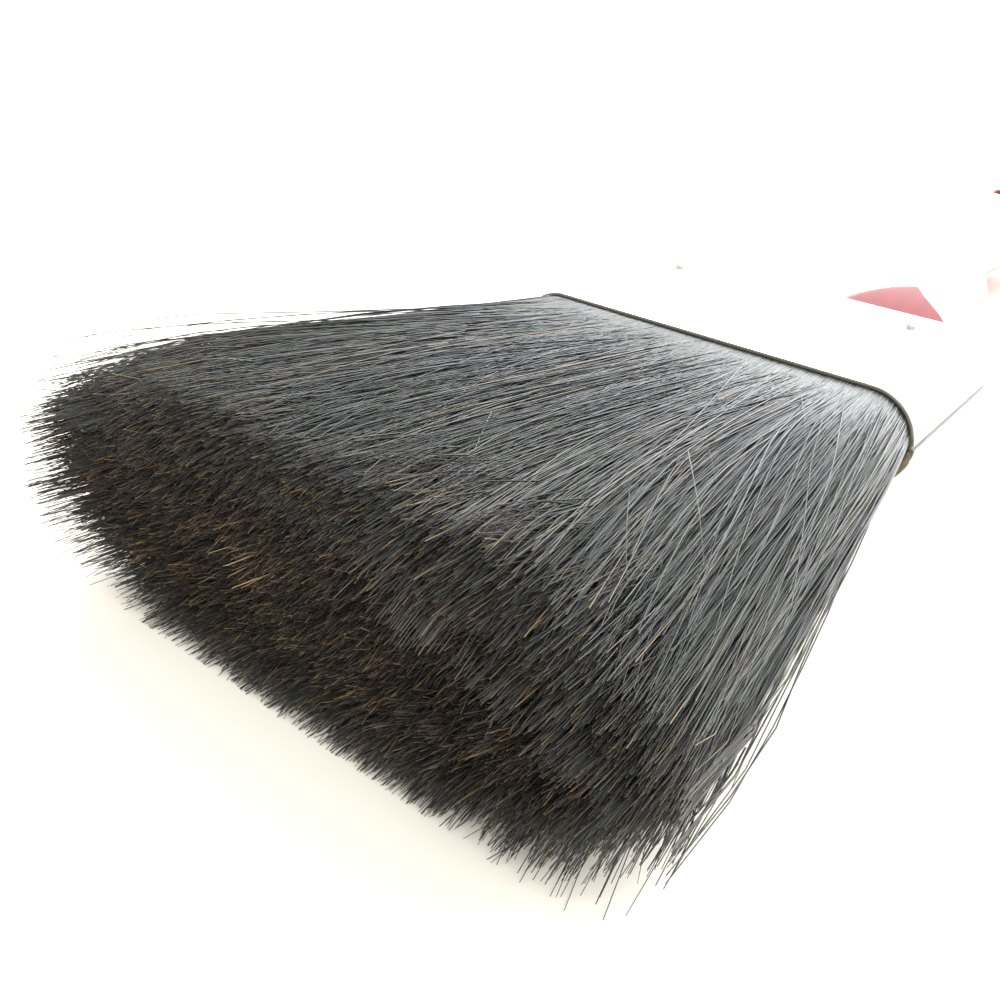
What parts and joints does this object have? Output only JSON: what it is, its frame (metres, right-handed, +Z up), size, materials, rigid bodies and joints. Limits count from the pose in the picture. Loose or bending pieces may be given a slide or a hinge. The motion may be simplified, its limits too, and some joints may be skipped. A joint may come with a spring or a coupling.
{
  "type": "flat dusting brush",
  "caption": "Flat dusting brush: dense black bristles set in a nailed sheet-metal ferrule on a red lacquered wooden handle with a hanging hole.",
  "frame": {"origin": "bottom centre of the whole brush as it lies on one flat face", "axes": "+Y from the bristle tips to the end of the handle, +Z up out of the brush's flat face, +X across its width"},
  "size_m": [0.0604, 0.2196, 0.024],
  "materials": {
    "black_bristle": "satin",
    "filler_wood": "matte",
    "setting_resin": "satin",
    "ferrule_steel": "gloss",
    "red_lacquer": "gloss",
    "nail_steel": "gloss"
  },
  "bodies": {
    "root": {"bristle_tuft": "black_bristle", "filler_strip_upper": "filler_wood", "filler_strip_lower": "filler_wood", "resin_setting": "setting_resin", "ferrule": "ferrule_steel", "handle": "red_lacquer", "nail_top_right": "nail_steel", "nail_top_left": "nail_steel", "nail_bottom_right": "nail_steel", "nail_bottom_left": "nail_steel"}
  },
  "joints": []
}
